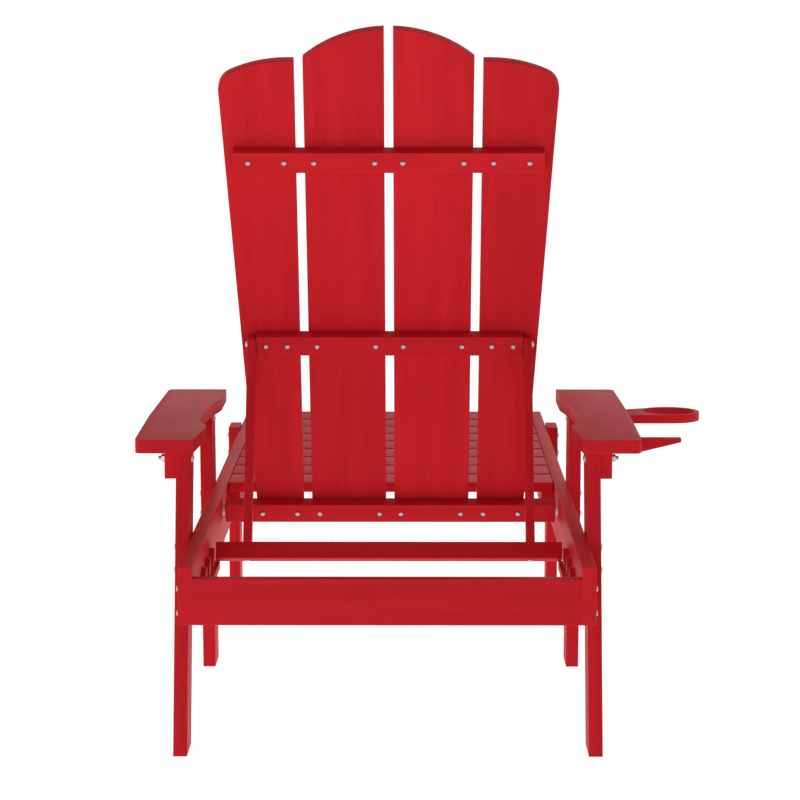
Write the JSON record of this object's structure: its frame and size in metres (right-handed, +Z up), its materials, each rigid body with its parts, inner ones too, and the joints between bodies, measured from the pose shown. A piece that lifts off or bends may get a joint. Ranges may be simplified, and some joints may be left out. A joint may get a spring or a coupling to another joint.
{
  "type": "adirondack chaise longue",
  "caption": "Adirondack-style outdoor chaise longue with a slatted seat, a reclining fan back on a prop and notched racks, flat arms and a cup ring.",
  "frame": {"origin": "on the floor, under the middle of the whole chair's outline seen from above, which the cup ring on the right takes 59 mm right of the chair's centre plane; the left and right arms and the foot end bound that outline", "axes": "+X towards the sitter's right, where the cup ring is; +Y from the rear end, behind the back, to the foot end; +Z up"},
  "size_m": [0.898, 1.66, 1.1011],
  "materials": {
    "board": "through-coloured red plastic lumber with a fine embossed wood grain",
    "fastener": "plain stainless steel",
    "washer": "white nylon"
  },
  "bodies": {
    "frame": {"rail_left": "board", "rail_right": "board", "rear_apron": "board", "front_apron": "board", "rear_leg_left": "board", "rear_leg_right": "board", "middle_leg_left": "board", "middle_leg_right": "board", "front_leg_left": "board", "front_leg_right": "board", "notch_rack_left": "board", "notch_rack_right": "board", "seat_ledger_left": "board", "seat_ledger_right": "board", "seat_slat_1": "board", "seat_slat_2": "board", "seat_slat_3": "board", "seat_slat_4": "board", "seat_slat_5": "board", "seat_slat_6": "board", "seat_slat_7": "board", "seat_slat_8": "board", "seat_slat_9": "board", "arm_left": "board", "arm_right": "board", "arm_cleat_left": "board", "arm_cleat_right": "board", "cup_ring": "board", "cup_rest": "board", "cup_dowels": "board", "leg_bolts": "fastener", "arm_bolts": "fastener", "arm_nuts": "fastener", "back_pivot_bolts": "fastener", "back_pivot_washers": "washer", "seat_screws": "fastener", "ledger_screws": "fastener", "arm_screws": "fastener", "apron_screws": "fastener", "rack_screws": "fastener", "cup_screws": "fastener"},
    "back": {"back_slat_1": "board", "back_slat_2": "board", "back_slat_3": "board", "back_slat_4": "board", "back_cleat_upper": "board", "back_cleat_middle": "board", "back_cleat_lower": "board", "prop_pivot_bolts": "fastener", "back_screws_upper": "fastener", "back_screws_middle": "fastener", "back_screws_lower": "fastener"},
    "prop": {"prop_leg_left": "board", "prop_leg_right": "board", "prop_foot_bar": "board", "prop_screws": "fastener"}
  },
  "joints": [
    {"name": "back_recline", "type": "hinge", "parent": "frame", "child": "back", "pos_m": [-0.059, -0.1958, 0.2908], "axis": [1, 0, 0], "range_deg": [0, 36.5]},
    {"name": "prop_swing", "type": "hinge", "parent": "back", "child": "prop", "pos_m": [-0.059, -0.33523, 0.58771], "axis": [1, 0, 0], "range_deg": [-72, 0]}
  ],
  "couplings": [
    {"joint": "prop_swing", "follows": "back_recline", "ratio": -1.97}
  ]
}
